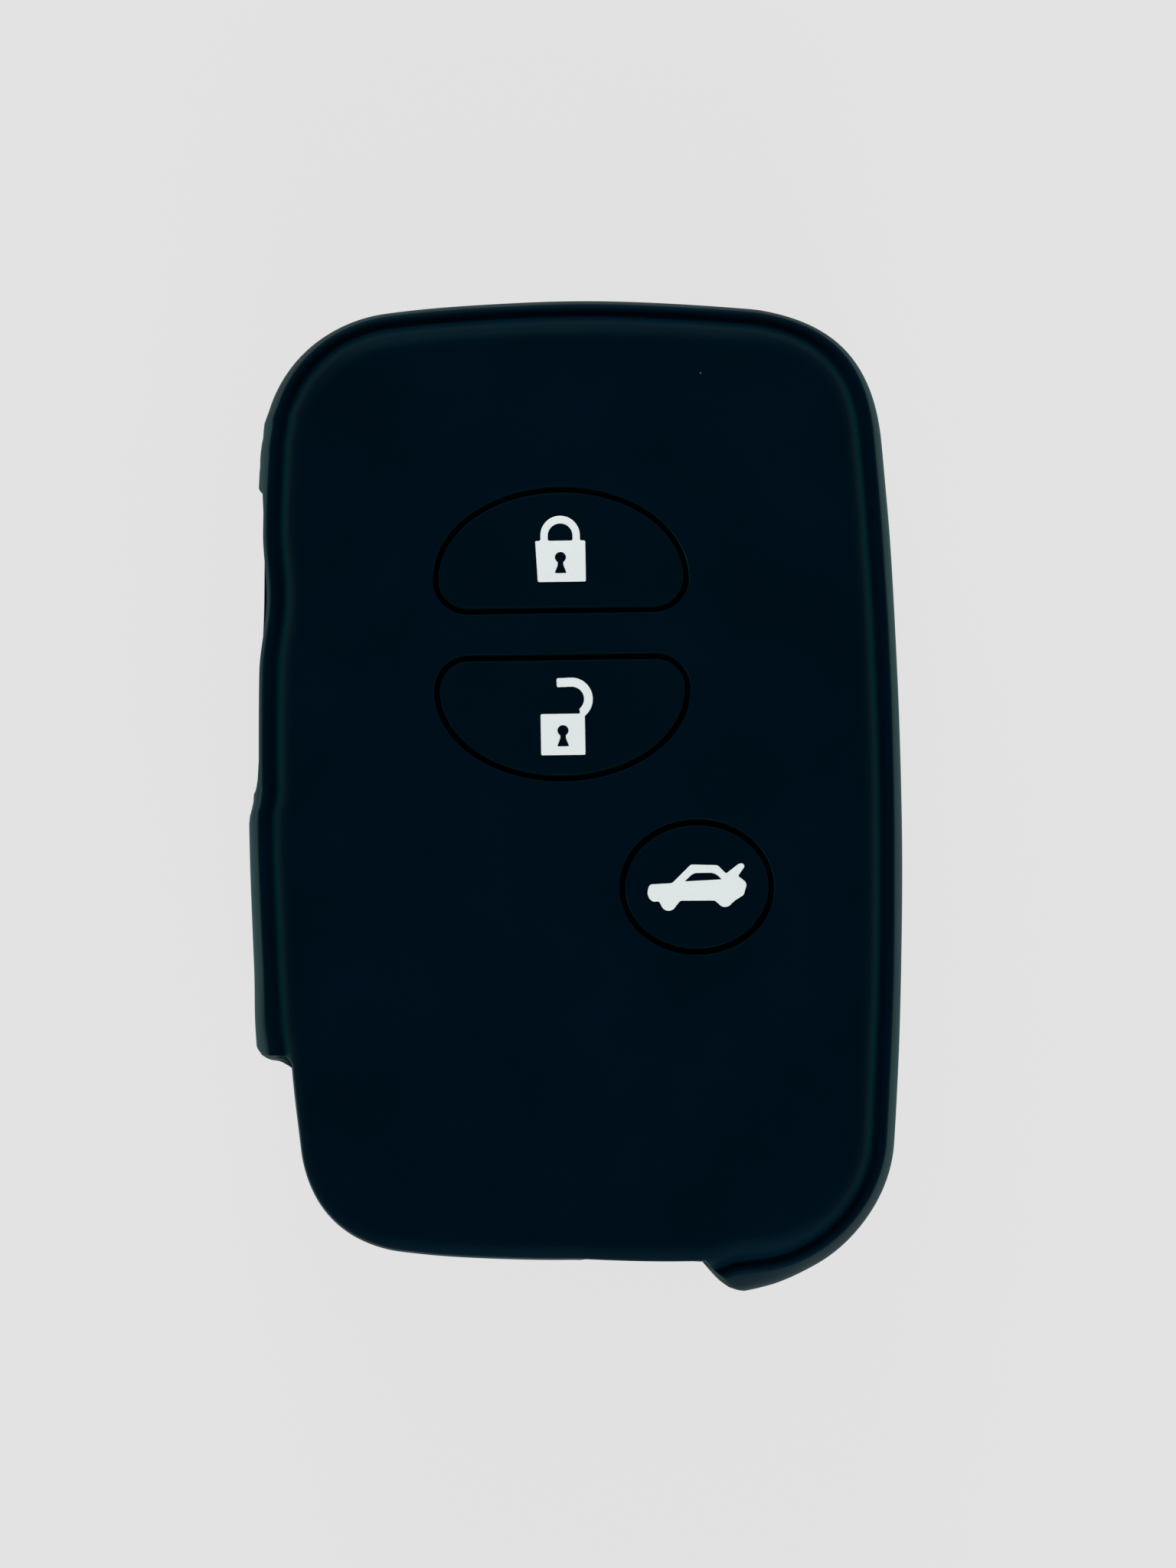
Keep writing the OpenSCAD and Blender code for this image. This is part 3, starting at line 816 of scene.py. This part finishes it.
def stack(form, outline, steps):
    """Loops of one outline at several growths and heights, bridged. Gives the ends."""
    loops = [form.loop(outline(grow), z) for grow, z in steps]
    for one, other in zip(loops, loops[1:]):
        form.bridge(one, other)
    return loops[0], loops[-1]


print("a rolled edge:", [(round(grow, 2), round(z, 2)) for grow, z in rolled(0, 1, 0, 1, 2)])

# %% Sweep the sheet
skin_form = Form()


def is_cut(row, column):
    """Whether a place of the sheet falls into one of the windows."""
    for window in (slot, gap):
        first, last = window_columns(window)
        if window.inside(row) and first < column < last:
            return True
    return False


def sweep_sheet(form):
    """Points of the sheet by row and column, with none inside the windows."""
    grid = []
    for row, place in enumerate(rows):
        line = [None] * len(columns)
        for column in range(len(columns)):
            if not is_cut(row, column):
                line[column] = form.add(skin_point(column_along(column, row), *place))
        grid.append(line)
    for upper, lower in zip(grid, grid[1:]):
        for column in range(len(columns)):
            after = (column + 1) % len(columns)
            corners = (upper[column], lower[column], lower[after], upper[after])
            if None not in corners:
                form.faces.append(corners)
    return grid


grid = sweep_sheet(skin_form)
print("sheet:", len(skin_form.faces), "faces")

# %% The straight way through the wall, along each window's edge
WAY_STEPS = 4
KNEE_UP = 0.12  # where the panel's cut turns to the pocket


def slot_cut(row, column):
    """Five points through the wall at a place of the slot's edge."""
    top, low = slot_rows_z
    share = (top - rows[row].y) / (top - low)
    z = SLOT_Z[1] + share * (SLOT_Z[0] - SLOT_Z[1])
    first, last = slot_edges(z, 0)
    along = min(max(column_along(column, row), first), last)
    outside, inside = wall_in(z), pocket_in(z)
    return [(along, outside + (inside - outside) * i / WAY_STEPS, z)
            for i in range(WAY_STEPS + 1)]


def gap_section(row):
    """Five points of the section through the gap's cut, from the outside to the inside."""
    if row == gap.first_row:
        knee = Vector((GAP_IN, gap_in_top.y + KNEE_UP))
        return [gap_top, gap_top.lerp(knee, 0.5), knee, gap_in_top.lerp(knee, 0.5), gap_in_top]
    ends = rows[row], rows[mirrored(row)]
    if row == gap.last_row:
        ends = gap_low, gap_in_low
    return [ends[0].lerp(ends[1], i / WAY_STEPS) for i in range(WAY_STEPS + 1)]


def gap_cut(row, column):
    """Five points through the wall at a place of the key ring gap's edge."""
    outer, inner = column_along(column, row), column_along(column, mirrored(row))
    way = []
    for i, place in enumerate(gap_section(row)):
        first, last = gap_edges(place.x, 0)
        along = outer + (inner - outer) * i / WAY_STEPS
        way.append((min(max(along, first), last), *place))
    return way


print("panel's cut at the gap:", [spot.to_tuple(2) for spot in gap_section(gap.first_row)])

# %% Roll the edges of the two windows


def border(window):
    """Row and column of each point round a window, once round."""
    first, last = window_columns(window)
    top, low = window.first_row, window.last_row
    return ([(top, column) for column in range(first, last)]
            + [(row, last) for row in range(top, low)]
            + [(low, column) for column in range(last, first, -1)]
            + [(row, first) for row in range(low, top, -1)])


def roll_window(form, window, cut):
    """Closes the wall along a window's edge, rolled on both sides."""
    profiles = []
    for row, column in border(window):
        start, end = grid[row][column], grid[mirrored(row)][column]
        way = [skin_point(*spot) for spot in cut(row, column)]
        spots = rounded(form.points[start], way[0], way[1])[1:] + [way[2]]
        spots += rounded(way[3], way[4], form.points[end])[:-1]
        profiles.append([start] + [form.add(spot) for spot in spots] + [end])
    for one, other in zip(profiles, profiles[1:] + profiles[:1]):
        for i in range(len(one) - 1):
            form.faces.append((one[i], one[i + 1], other[i + 1], other[i]))


roll_window(skin_form, slot, slot_cut)
roll_window(skin_form, gap, gap_cut)
print("sheet with rolled windows:", len(skin_form.faces), "faces")

# %% Close the panel round the three openings
BUTTON_GAP = 0.5  # groove round each pad
ROLL, FOOT_BEVEL = 0.12, 0.1

opening_steps = rolled(BUTTON_GAP + ROLL, BUTTON_GAP, face_z, ROLL)
opening_steps += [(BUTTON_GAP, panel_z + FOOT_BEVEL), (BUTTON_GAP + FOOT_BEVEL, panel_z)]
top_loops, low_loops = [grid[0]], [grid[-1]]
for outline in outlines.values():
    top, low = stack(skin_form, outline, opening_steps)
    top_loops.append(top)
    low_loops.append(low)
skin_form.fill(top_loops)
skin_form.fill(low_loops)

skin = make_piece(skin_form, "moulded_skin", skin_rubber)
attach(skin, "cover")
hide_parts("cover_shell")

# %% [markdown]
# ## Icons
# The icons are a closed padlock, an open padlock and a car with its boot lid up. They could
# be painted on by a material, but the real ones are a second rubber with an edge of its own.
# Each is an outline of straight lines and arcs with a hole or two. The sharp corners are cut
# off softly, because a poured fill never runs into a perfectly sharp corner.

# %% Soft corners, and a line moved outward
ICON_CORNER, CORNER_SHARE = 0.13, 0.4  # mm, and never more of a side than this
NEARLY_STRAIGHT = 20  # degrees that are no corner
SHARPEST = 0.5  # keeps a sharp corner from running away


def softened(spots):
    """The outline with its sharp corners cut off by short curves."""
    soft = []
    for before, spot, after in zip(spots[-1:] + spots[:-1], spots, spots[1:] + spots[:1]):
        to_before, to_after = before - spot, after - spot
        if to_before.angle(-to_after) < math.radians(NEARLY_STRAIGHT):
            soft.append(spot)
            continue
        ends = [spot + way.normalized() * min(ICON_CORNER, way.length * CORNER_SHARE)
                for way in (to_before, to_after)]
        soft += rounded(ends[0], spot, ends[1])
    return soft


def grown(spots, distance):
    """The outline moved outward by a small distance, square to its sides, then softened."""
    sign = 1 if turns_left(spots) else -1
    moved = []
    for before, spot, after in zip(spots[-1:] + spots[:-1], spots, spots[1:] + spots[:1]):
        way = ((spot - before).normalized() + (after - spot).normalized()).normalized()
        lean = max(way.dot((after - spot).normalized()), SHARPEST)
        moved.append(spot + Vector((way.y, -way.x)) * (sign * distance / lean))
    return softened(moved)


print("a square with soft corners has", len(softened(square)), "points")

# %% The closed padlock
BODY_H, BODY_LEAN = 3.15, 0.16
SHACKLE_T, SHACKLE_LEG = 0.58, 0.4
KEY_R, KEY_RISE = 0.42, 0.3
key_skirt_shares = [(-0.5, -1.4), (-1.1, -2.9), (1.1, -2.9), (0.5, -1.4)]  # of KEY_R


def keyhole(middle):
    """A round with a skirt below it."""
    spots = arc(middle, KEY_R, -60, 240, steps=24)
    return spots + [middle + KEY_R * Vector(share) for share in key_skirt_shares]


def lock_outlines():
    """Outer line and holes of the closed padlock."""
    low, high = box_mm("lock_icon")
    w, top = (high.x - low.x) / 2, low.y + BODY_H
    middle = (low.x + high.x) / 2
    hinge = Vector((middle, top + SHACKLE_LEG))
    radius = high.y - hinge.y
    outer = [Vector((middle - w + BODY_LEAN, low.y)), Vector((middle + w, low.y)),
             Vector((middle + w, top)), Vector((middle + radius, top))]
    outer += arc(hinge, radius, 0, 180, steps=36)
    outer += [Vector((middle - radius, top)), Vector((middle - w, top))]
    inner = [Vector((middle + radius - SHACKLE_T, top))]
    inner += arc(hinge, radius - SHACKLE_T, 0, 180, steps=28)
    inner += [Vector((middle - radius + SHACKLE_T, top))]
    hole = keyhole(Vector((middle, low.y + BODY_H / 2 + KEY_RISE)))
    return [outer, inner, hole]


print("closed padlock:", [len(line) for line in lock_outlines()], "points")

# %% The open padlock
UNLOCK_W = 3.4
OPEN_R, OPEN_T, OPEN_TAIL = 1.3, 0.68, 1.07  # shackle's middle line, width, free leg
OPEN_FROM, OPEN_TO = -52, 92  # degrees of its bend
OPEN_SHARES = (0.2, 0.858)  # its centre, in shares of the body
OPEN_INSET = 0.03


def unlock_outlines():
    """Outer line and hole of the open padlock."""
    low, _ = box_mm("unlock_icon")
    middle = Vector((low.x + UNLOCK_W / 2, low.y + BODY_H / 2))
    w, h = UNLOCK_W / 2, BODY_H / 2
    hinge = middle + Vector((OPEN_SHARES[0] * UNLOCK_W, OPEN_SHARES[1] * BODY_H))
    outward = Vector((math.cos(math.radians(OPEN_TO)), math.sin(math.radians(OPEN_TO))))
    tail = hinge + OPEN_TAIL * Vector((-outward.y, outward.x))
    outer = [middle + Vector((-w, -h)), middle + Vector((w, -h))]
    outer += arc(hinge, OPEN_R + OPEN_T / 2, OPEN_FROM, OPEN_TO, steps=40)
    outer += [tail + (OPEN_R + side * OPEN_T / 2) * outward for side in (1, -1)]
    outer += arc(hinge, OPEN_R - OPEN_T / 2, OPEN_TO, OPEN_FROM, steps=30)
    outer += [middle + Vector((w - OPEN_T / 2 - OPEN_INSET, h)), middle + Vector((-w, h))]
    return [outer, keyhole(middle + Vector((0, KEY_RISE)))]


print("open padlock:", [len(line) for line in unlock_outlines()], "points")

# %% The car, in shares of its length
car_top_shares = [
    (-0.49, 0), (-0.467, 0.03), (-0.25, 0.039), (-0.059, 0.224), (0.21, 0.214), (0.295, 0.128),
    (0.423, 0.226), (0.462, 0.23), (0.484, 0.2), (0.414, 0.102), (0.482, 0.05), (0.5, 0.015),
    (0.468, -0.089), (0.384, -0.14)]
car_sill_shares = [(0.175, -0.14), (-0.17, -0.137)]
car_nose_shares = [(-0.385, -0.14), (-0.445, -0.145), (-0.485, -0.11), (-0.5, -0.06)]
car_window_shares = [
    (-0.125, 0.055), (-0.055, 0.12), (-0.017, 0.14), (0.155, 0.14), (0.2, 0.12), (0.25, 0.07)]
CAR_TOP, WHEEL_R = 0.23, 0.079
REAR_WHEEL, REAR_ARCH = (0.279, -0.128), (-35, -145)  # the arches are in degrees
FRONT_WHEEL, FRONT_ARCH = (-0.288, -0.158), (-30, -165)


def trunk_outlines():
    """Outer line and window of the car."""
    low, high = box_mm("trunk_icon")
    length = high.x - low.x
    at_share = Vector(((low.x + high.x) / 2, high.y - CAR_TOP * length))

    def placed(shares):
        return [at_share + length * Vector(share) for share in shares]

    outer = placed(car_top_shares)
    outer += arc(placed([REAR_WHEEL])[0], WHEEL_R * length, *REAR_ARCH, steps=12)
    outer += placed(car_sill_shares)
    outer += arc(placed([FRONT_WHEEL])[0], WHEEL_R * length, *FRONT_ARCH, steps=14)
    outer += placed(car_nose_shares)
    return [outer, placed(car_window_shares)]


icon_outlines = {
    "lock": lock_outlines(), "unlock": unlock_outlines(), "trunk": trunk_outlines()}
print("car:", [len(line) for line in icon_outlines["trunk"]], "points")

# %% [markdown]
# ## Pads, webs and icons
# A pad is a thick island of the same rubber. Its top edge is rolled, and its icon sits in a
# shallow recess with a hairline all round, which shows as a thin dark line. The web is a
# thin cone of rubber deep in the groove. It has one foot in the skin and one in the pad. A
# rigid ring would tear off one of them when the pad is pressed; here the web is tied to
# neither body and stays where it was built.

# %% The pad and its icon
HAIRLINE, RECESS_UNDER = 0.05, 0.02  # air beside the fill, and below it
ICON_ROLL, PAD_ROLL, PAD_BEVEL = 0.06, 0.14, 0.15


def make_pad(name):
    """The pad with its recess."""
    form = Form()
    steps = rolled(-PAD_ROLL, 0, face_z, PAD_ROLL)
    steps += [(0, panel_z + PAD_BEVEL), (-PAD_BEVEL, panel_z)]
    top, low = stack(form, outlines[name], steps)
    floor_z = box_mm(name + "_icon")[0].z - RECESS_UNDER
    edges, floors = [], []
    for number, line in enumerate(icon_outlines[name]):
        line = grown(line, HAIRLINE if number == 0 else -HAIRLINE)
        edge, floor = form.loop(line, face_z), form.loop(line, floor_z)
        form.bridge(edge, floor)
        edges.append(edge)
        floors.append(floor)
    form.fill([top] + edges)
    form.fill(floors)
    form.fill([low])
    return make_piece(form, name + "_pad_cap", pad_rubber)


def make_icon(name):
    """The white fill, with its top edge rolled."""
    form = Form()
    low, high = box_mm(name + "_icon")
    tops, feet = [], []
    for number, line in enumerate(icon_outlines[name]):
        out = 1 if number == 0 else -1
        steps = rolled(-ICON_ROLL * out, 0, high.z, ICON_ROLL, steps=3) + [(0, low.z)]
        top, foot = stack(form, lambda grow: grown(line, grow), steps)
        tops.append(top)
        feet.append(foot)
    form.fill(tops)
    form.fill(feet)
    return make_piece(form, name + "_icon_fill", icon_rubber)


# %% The web
WEB_SKIN = 0.14  # thickness of the cone
BITE = 0.05  # how far its feet reach into skin and pad
WEB_UP = 0.15  # its foot in the pad, over the underside
WEB_STEPS = 6


def make_web(name):
    """The thin cone between the skin and the pad."""
    form = Form()
    high, low = panel_z + web_t, panel_z + WEB_UP
    across = BUTTON_GAP + 2 * BITE
    way = [(BUTTON_GAP + BITE - across * i / WEB_STEPS,
            high - (high - low) * smooth(0, 1, i / WEB_STEPS)) for i in range(WEB_STEPS + 1)]
    steps = way + [(grow, z - WEB_SKIN) for grow, z in reversed(way)]
    first, last = stack(form, outlines[name], steps)
    form.bridge(last, first)
    return make_piece(form, name + "_web_ring", web_rubber_painted_shade), high, low


# %% Make the three buttons, each of three pieces
for name in outlines:
    body = name + "_pad"
    pad, icon = make_pad(name), make_icon(name)
    web, high, low = make_web(name)
    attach(pad, body)
    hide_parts(name + "_button")
    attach(icon, body)
    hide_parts(name + "_icon")
    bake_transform(web)
    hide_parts(name + "_button_web")

# %% [markdown]
# ## Light and floor
# The cover lies on pale paper under a plain, nearly even sky, which alone would leave it
# without any highlight. A near-black matt face stays near black only if no lamp stands where
# it mirrors into the camera, so two soft lamps stand low, one beyond the top end and one
# before the bottom end. They draw the teal lines along the rim and the face edge there, and
# leave the two long sides darker. Lamps and sky together light a flat surface at about the
# level at which its colour renders as written.

# %% Floor
FLOOR_HALF, FLOOR_CLEAR = 3000, 0.01
PAPER, PAPER_GLOW = "#e9e9e9", 0.765
SHADOW_SHARE = 0.05  # how much of the lit paper the camera sees
FIBRE_MM, FIBRE_DEPTH, FIBRE_SHARE = 0.6, 0.02, 0.1  # size, depth in mm, share shown


def pale_paper():
    """Seen directly, the paper is mostly its own even tone, with a faint shadow."""
    material, tree = new_material("pale_paper")
    place = add_node(tree, "ShaderNodeTexCoord").outputs["Object"]
    fibre = add_node(tree, "ShaderNodeTexNoise", {"Scale": 1 / (FIBRE_MM * MM), "Detail": 4},
                     {"Vector": place})
    bump = add_node(tree, "ShaderNodeBump",
                    {"Strength": FIBRE_SHARE, "Distance": FIBRE_DEPTH * MM},
                    {"Height": fibre.outputs["Fac"]})
    shader = add_node(tree, "ShaderNodeBsdfDiffuse", {"Color": srgb(PAPER)},
                      {"Normal": bump.outputs["Normal"]})
    glow = add_node(tree, "ShaderNodeEmission", {"Strength": PAPER_GLOW})
    path = add_node(tree, "ShaderNodeLightPath")
    seen = path.outputs["Is Camera Ray"]
    for kind in ("Is Glossy Ray", "Is Transmission Ray"):
        seen = add_node(tree, "ShaderNodeMath", {"operation": "MAXIMUM"},
                        {0: seen, 1: path.outputs[kind]}).outputs[0]
    share = add_node(tree, "ShaderNodeMath", {"operation": "MULTIPLY", 1: 1 - SHADOW_SHARE},
                     {0: seen}).outputs[0]
    both = add_node(tree, "ShaderNodeMixShader", {},
                    {0: share, 1: shader.outputs["BSDF"], 2: glow.outputs["Emission"]})
    add_node(tree, "ShaderNodeOutputMaterial", {}, {"Surface": both.outputs["Shader"]})
    return material


def make_floor():
    """One large flat face, a hair below the cover."""
    form = Form()
    corners = [Vector((x, y)) for x, y in ((-1, -1), (1, -1), (1, 1), (-1, 1))]
    form.faces.append(tuple(form.loop([FLOOR_HALF * spot for spot in corners], -FLOOR_CLEAR)))
    floor = make_piece(form, "floor", pale_paper())
    floor.modifiers.clear()
    return floor


make_floor()

# %% Lamps
LAMP_SIZE, LAMP_POWER = 400, 5.7  # mm, and watts
lamp_places = {"top_lamp": (-120, 720, 270), "bottom_lamp": (100, -720, 270)}


def area_lamp(name, place):
    """A soft square lamp, turned to the middle of the cover."""
    data = bpy.data.lights.new(name, "AREA")
    data.shape, data.size, data.energy = "SQUARE", LAMP_SIZE * MM, LAMP_POWER
    lamp = bpy.data.objects.new(name, data)
    lamp.location = Vector(place) * MM
    lamp.rotation_euler = (-lamp.location).to_track_quat("-Z", "Y").to_euler()
    bpy.context.collection.objects.link(lamp)


for name, place in lamp_places.items():
    area_lamp(name, place)
print("lamps:", [lamp.name for lamp in bpy.data.lights])

# %% Sky
SKY_LOW, SKY_HIGH = (0.1, 0.42), (0.8, 0.38)  # height of the direction, and its strength

world = bpy.data.worlds.new("studio")
bpy.context.scene.world = world
world.use_nodes = True
sky = world.node_tree
sky.nodes.clear()
direction = add_node(sky, "ShaderNodeTexCoord").outputs["Generated"]
height = add_node(sky, "ShaderNodeSeparateXYZ", {}, {"Vector": direction}).outputs["Z"]
ramp = add_node(sky, "ShaderNodeMapRange",
                {"From Min": SKY_LOW[0], "From Max": SKY_HIGH[0],
                 "To Min": SKY_LOW[1], "To Max": SKY_HIGH[1]}, {"Value": height})
glow = add_node(sky, "ShaderNodeBackground", {"Color": (1, 1, 1, 1)},
                {"Strength": ramp.outputs["Result"]})
add_node(sky, "ShaderNodeOutputWorld", {}, {"Surface": glow.outputs["Background"]})
print("sky:", len(sky.nodes), "nodes")

# %% [markdown]
# ## Camera
# The cover was photographed from almost straight above, from half a metre or more, with the
# camera tipped four degrees towards its bottom end and the cover turned by less than one
# degree. The frame is upright, 1536 by 2048, so the lens is worked out from how many
# millimetres of the table fill its height.

# %% Camera
FRAME_H, DISTANCE = 121.75, 500
TIP, SWAY, ROLL_LEFT = math.radians(4), math.radians(0.7), 0.015
AIM = Vector((1.0, 0.95, BULGE_Z))  # the place in the middle of the frame
SENSOR_H = 36
NEAREST, FARTHEST = 0.01, 20  # metres

back = Vector((-math.sin(SWAY), -math.sin(TIP), math.cos(TIP))).normalized()
up = Vector((math.sin(ROLL_LEFT), math.cos(ROLL_LEFT), 0))
right = up.cross(back).normalized()
turn = Matrix((right, back.cross(right), back)).transposed().to_4x4()

camera_data = bpy.data.cameras.new("camera")
camera_data.sensor_fit = "VERTICAL"
camera_data.sensor_height = SENSOR_H
camera_data.lens = SENSOR_H * DISTANCE / FRAME_H
camera_data.clip_start, camera_data.clip_end = NEAREST, FARTHEST
camera = bpy.data.objects.new("camera", camera_data)
camera.matrix_world = Matrix.Translation((AIM + DISTANCE * back) * MM) @ turn
bpy.context.collection.objects.link(camera)
bpy.context.scene.camera = camera
bpy.context.scene.view_settings.view_transform = "Standard"
print("lens:", round(camera_data.lens, 1), "mm")
